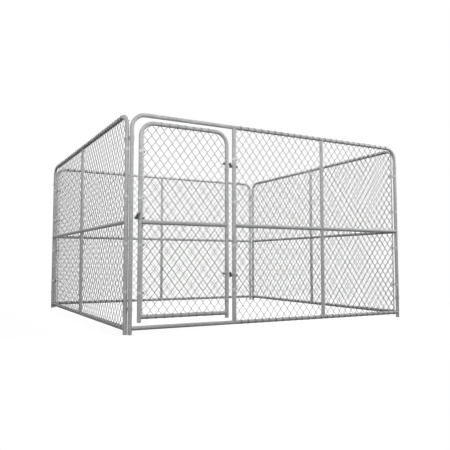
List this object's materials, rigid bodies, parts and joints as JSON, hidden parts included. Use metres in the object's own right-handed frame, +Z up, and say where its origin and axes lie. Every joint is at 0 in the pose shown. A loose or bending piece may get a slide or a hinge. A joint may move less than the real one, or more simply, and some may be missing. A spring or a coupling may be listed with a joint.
{
  "type": "outdoor dog kennel run",
  "caption": "Square outdoor dog run of chain-link panels in bent tube frames, clamped at the corners, with a hinged gate and a fork latch in the front panel.",
  "frame": {"origin": "middle of the floor inside the run, at ground level", "axes": "+X to the right seen from outside the gate, +Y to the back, +Z up; the gate is in the front panel at -Y, at its left end"},
  "size_m": [3.077, 3.0878, 1.8361],
  "materials": {
    "galvanised_tube": "galvanised, satin grey",
    "galvanised_wire": "galvanised wire",
    "zinc_hardware": "dull zinc plate"
  },
  "bodies": {
    "run": {"front_hoop": "galvanised_tube", "front_bottom_rail": "galvanised_tube", "front_hinge_post": "galvanised_tube", "front_upright": "galvanised_tube", "front_mid_rails": "galvanised_tube", "front_fabric": "galvanised_wire", "front_tension_bars": "galvanised_tube", "front_ties": "galvanised_wire", "left_hoop": "galvanised_tube", "left_bottom_rail": "galvanised_tube", "left_upright": "galvanised_tube", "left_mid_rails": "galvanised_tube", "left_fabric": "galvanised_wire", "left_tension_bars": "galvanised_tube", "left_ties": "galvanised_wire", "back_hoop": "galvanised_tube", "back_bottom_rail": "galvanised_tube", "back_upright": "galvanised_tube", "back_mid_rails": "galvanised_tube", "back_fabric": "galvanised_wire", "back_tension_bars": "galvanised_tube", "back_ties": "galvanised_wire", "right_hoop": "galvanised_tube", "right_bottom_rail": "galvanised_tube", "right_upright": "galvanised_tube", "right_mid_rails": "galvanised_tube", "right_fabric": "galvanised_wire", "right_tension_bars": "galvanised_tube", "right_ties": "galvanised_wire", "tension_bands": "galvanised_tube", "band_bolts": "zinc_hardware", "band_nuts": "zinc_hardware", "clamp_outer_saddles": "galvanised_tube", "clamp_inner_saddles": "galvanised_tube", "clamp_bolts": "zinc_hardware", "clamp_nuts": "zinc_hardware", "hinge_post_straps": "zinc_hardware", "hinge_pins": "zinc_hardware", "hinge_post_bolts": "zinc_hardware", "hinge_post_nuts": "zinc_hardware"},
    "gate": {"gate_hoop": "galvanised_tube", "gate_bottom_rail": "galvanised_tube", "gate_mid_rail": "galvanised_tube", "gate_fabric": "galvanised_wire", "gate_tension_bar": "galvanised_tube", "gate_ties": "galvanised_wire", "gate_bands": "galvanised_tube", "gate_band_bolts": "zinc_hardware", "gate_band_nuts": "zinc_hardware", "gate_hinge_eyes": "zinc_hardware", "gate_strap_bolts": "zinc_hardware", "gate_strap_nuts": "zinc_hardware", "latch_collar": "zinc_hardware", "latch_pin": "zinc_hardware"},
    "fork": {"latch_fork": "zinc_hardware"}
  },
  "joints": [
    {"name": "gate_swing", "type": "hinge", "parent": "run", "child": "gate", "pos_m": [-0.55855, -1.51796, 0.958], "axis": [0, 0, 1], "range_deg": [-100, 100]},
    {"name": "latch_lift", "type": "hinge", "parent": "gate", "child": "fork", "pos_m": [-1.44215, -1.51796, 0.946], "axis": [0, 1, 0], "range_deg": [-118.53, 0]}
  ]
}
